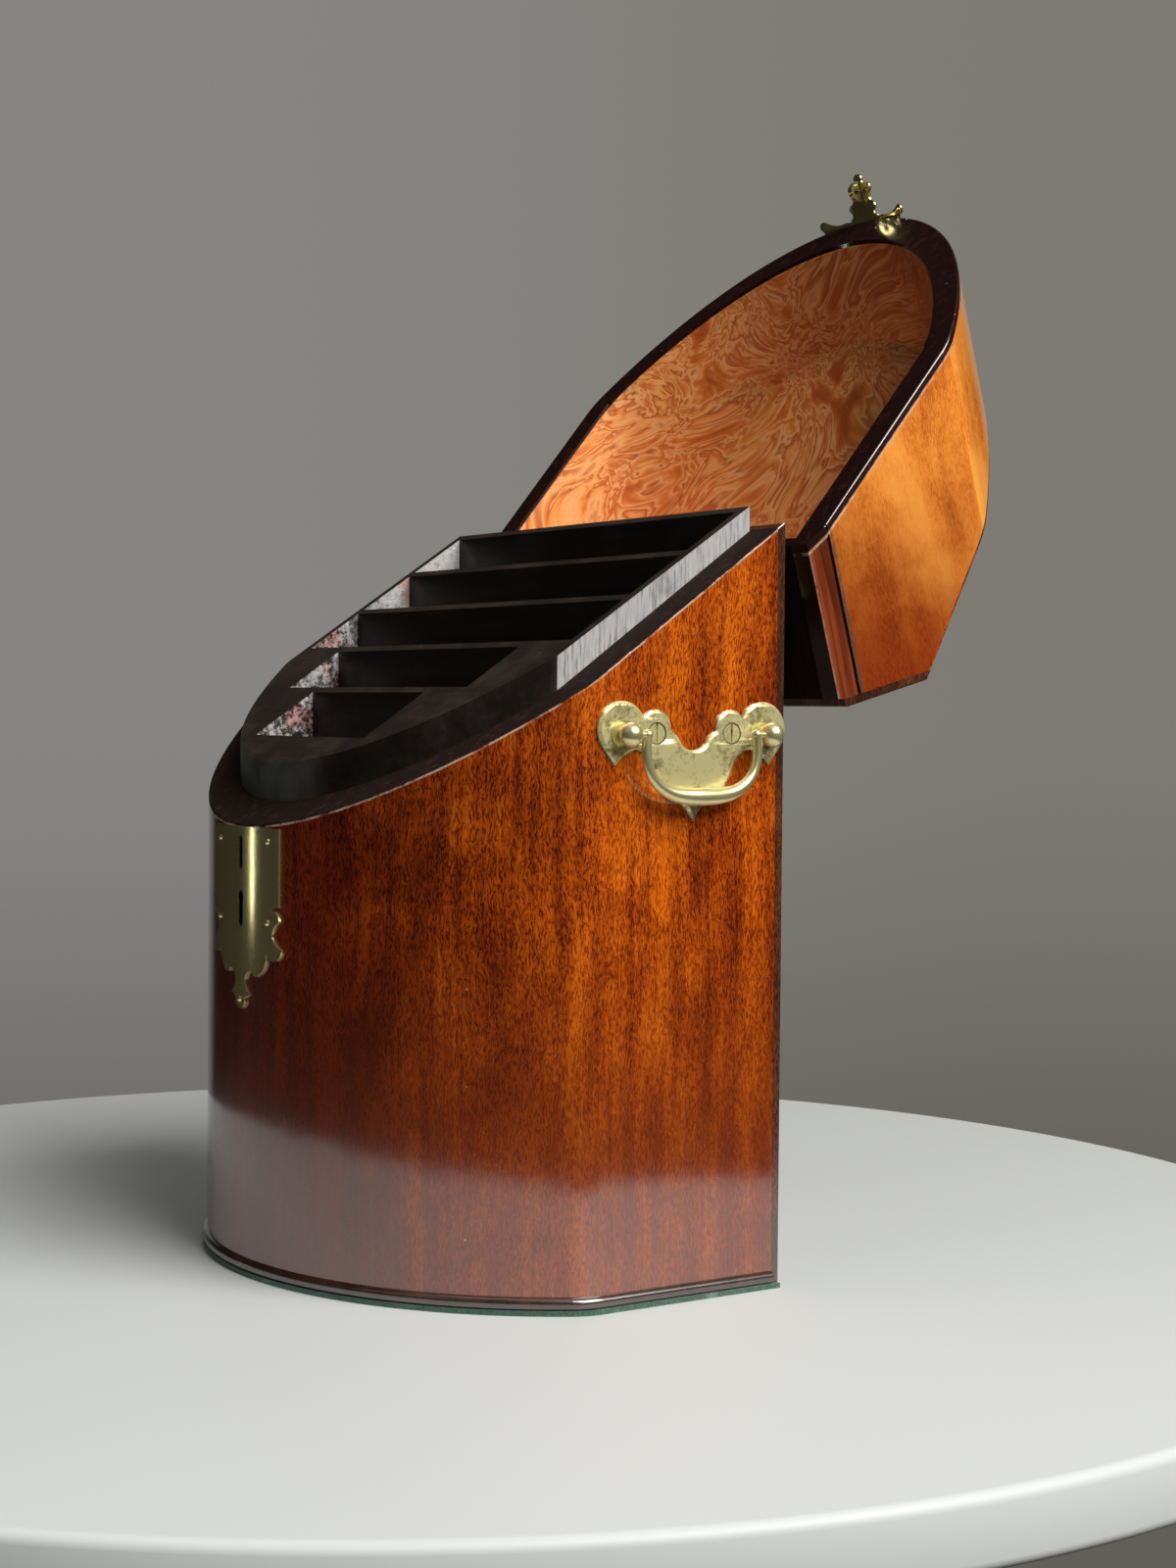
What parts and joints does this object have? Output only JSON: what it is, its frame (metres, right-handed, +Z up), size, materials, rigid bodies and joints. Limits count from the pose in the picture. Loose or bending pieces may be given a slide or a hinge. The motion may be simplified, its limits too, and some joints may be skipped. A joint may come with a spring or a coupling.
{
  "type": "knife box",
  "caption": "Mahogany knife box with a bowed front, sloping rim, slotted black insert and hipped lid thrown back on brass hinges.",
  "frame": {"origin": "middle of the base, where it rests on the table", "axes": "+Z up, -Y towards the bowed front, +X towards the box's right-hand handle as seen in the picture"},
  "size_m": [0.292, 0.3359, 0.4852],
  "materials": {
    "mahogany": "gloss",
    "mahogany_dark": "gloss",
    "ebonised": "satin",
    "oak": "matte",
    "brass": "satin",
    "iron": "satin",
    "paper": "matte",
    "baize": "matte"
  },
  "bodies": {
    "case": {"case_side_right": "mahogany", "case_side_left": "mahogany", "case_bow_front": "mahogany", "case_back": "mahogany_dark", "case_bottom": "oak", "base_bead_front": "mahogany_dark", "base_bead_right": "mahogany_dark", "base_bead_left": "mahogany_dark", "base_baize": "baize", "insert_side_right": "ebonised", "insert_side_left": "ebonised", "insert_back": "ebonised", "insert_bow_block": "ebonised", "insert_floor": "ebonised", "partition_1": "ebonised", "partition_2": "ebonised", "partition_3": "ebonised", "partition_4": "ebonised", "escutcheon_plate": "brass", "escutcheon_pins": "brass", "lock_case": "iron", "lock_cap": "iron", "hinge_case_leaf_right": "brass", "hinge_case_leaf_left": "brass", "hinge_pin_right": "brass", "hinge_pin_left": "brass", "hinge_case_screws": "brass", "handle_plate_right": "brass", "handle_posts_right": "brass", "handle_screws_right": "brass", "handle_plate_left": "brass", "handle_posts_left": "brass", "handle_screws_left": "brass"},
    "lid": {"lid_side_right": "mahogany", "lid_side_left": "mahogany", "lid_bow_front": "mahogany", "lid_back": "mahogany_dark", "lid_flat_top": "mahogany", "lid_slope_panel": "mahogany", "lid_lining": "paper", "hasp": "brass", "hasp_pins": "brass", "hinge_lid_leaf_right": "brass", "hinge_lid_leaf_left": "brass", "hinge_lid_screws": "brass"},
    "bail_right": {"bail_right": "brass"},
    "bail_left": {"bail_left": "brass"},
    "lock_bolt": {"lock_bolt": "iron"}
  },
  "joints": [
    {"name": "lid_hinge", "type": "hinge", "parent": "case", "child": "lid", "pos_m": [0, 0.0929, 0.3022], "axis": [1, 0, 0], "range_deg": [0, 164.6]},
    {"name": "bail_right_pivot", "type": "hinge", "parent": "case", "child": "bail_right", "pos_m": [0.1412, 0.0419, 0.2221], "axis": [0, -1, 0], "range_deg": [-3, 165]},
    {"name": "bail_left_pivot", "type": "hinge", "parent": "case", "child": "bail_left", "pos_m": [-0.1412, 0.0419, 0.2221], "axis": [0, 1, 0], "range_deg": [-3, 165]},
    {"name": "bolt_slide", "type": "slide", "parent": "case", "child": "lock_bolt", "axis": [1, 0, 0], "range_m": [0, 0.0055]}
  ]
}
